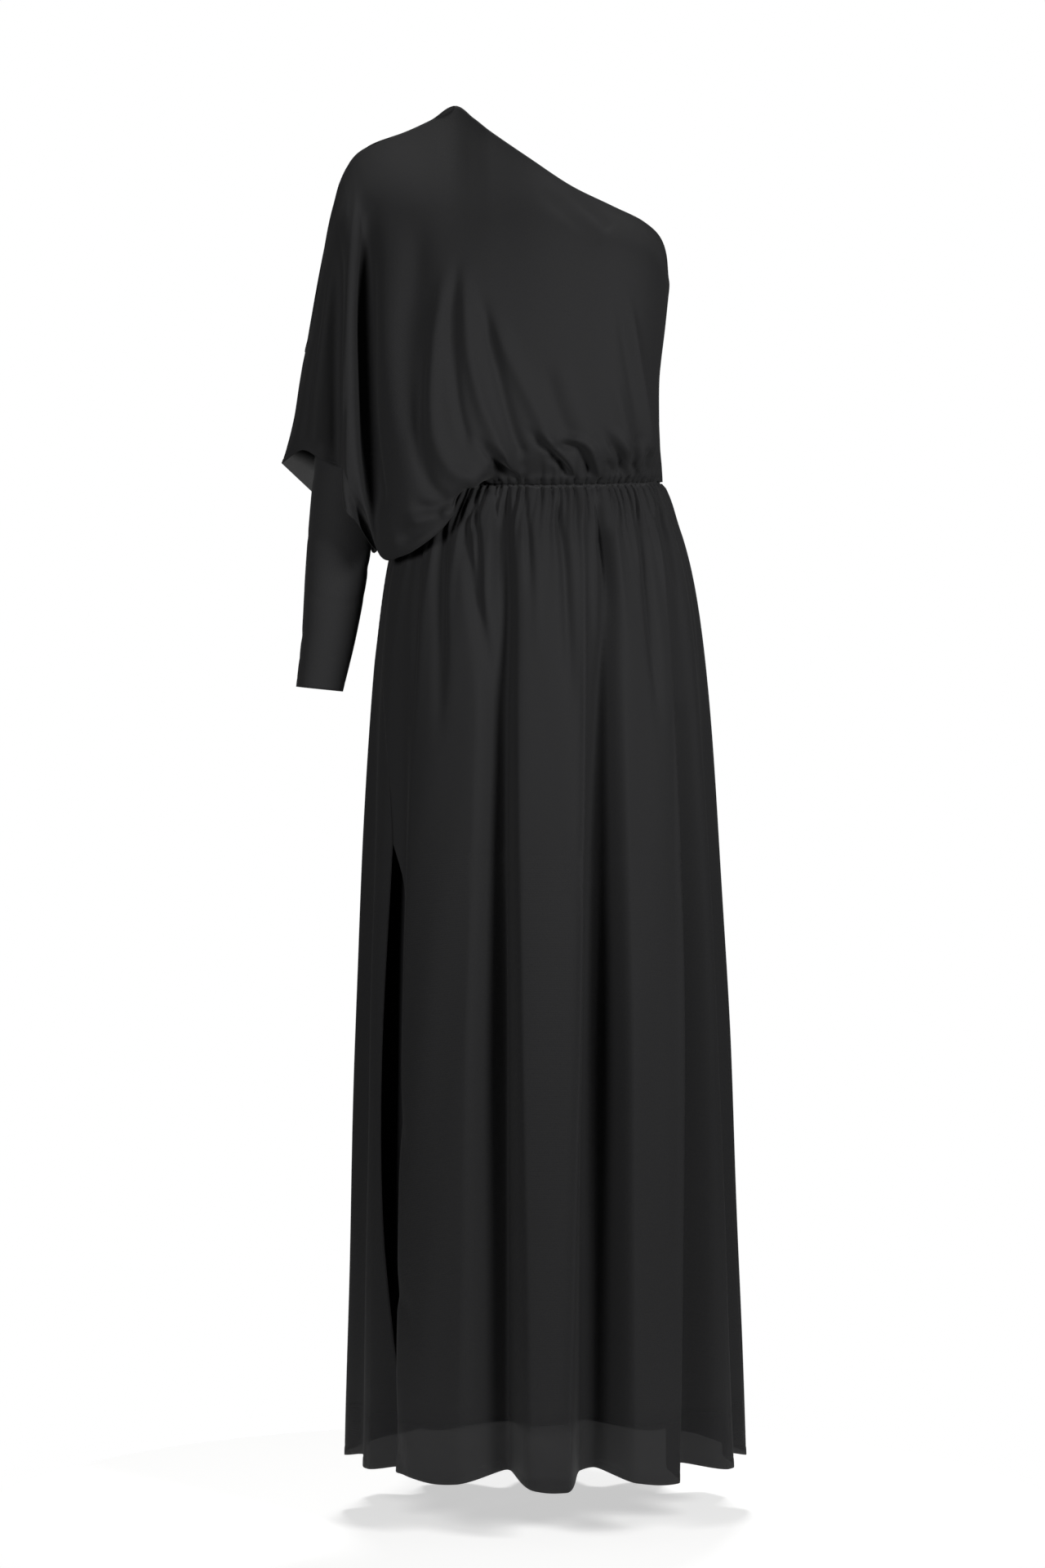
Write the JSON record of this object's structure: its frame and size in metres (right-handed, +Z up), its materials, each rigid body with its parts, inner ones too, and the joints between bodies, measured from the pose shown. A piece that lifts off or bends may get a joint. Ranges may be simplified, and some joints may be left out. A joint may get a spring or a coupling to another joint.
{
  "type": "one-shoulder dress",
  "caption": "Floor-length black one-shoulder dress with a wide sleeve over a fitted one, a gathered elastic waist and a lined skirt with a side slit.",
  "frame": {"origin": "inside of the cloth at the shoulder seam, half-way along it, on the plane of the side seams", "axes": "+X to the wearer's left, -Y to the wearer's front, +Z up, the dress hanging as it is worn"},
  "size_m": [0.5126, 0.4333, 1.4906],
  "materials": {
    "sheer_crepe": "matt, sheer",
    "waist_casing": "matt, puckered",
    "sleeve_jersey": "matt knit",
    "lining": "faint sheen"
  },
  "bodies": {
    "root": {"bodice_front": "sheer_crepe", "bodice_back": "sheer_crepe", "fitted_sleeve": "sleeve_jersey", "waist_casing": "waist_casing", "skirt_front": "sheer_crepe", "skirt_back": "sheer_crepe", "lining_front": "lining", "lining_back": "lining"}
  },
  "joints": []
}
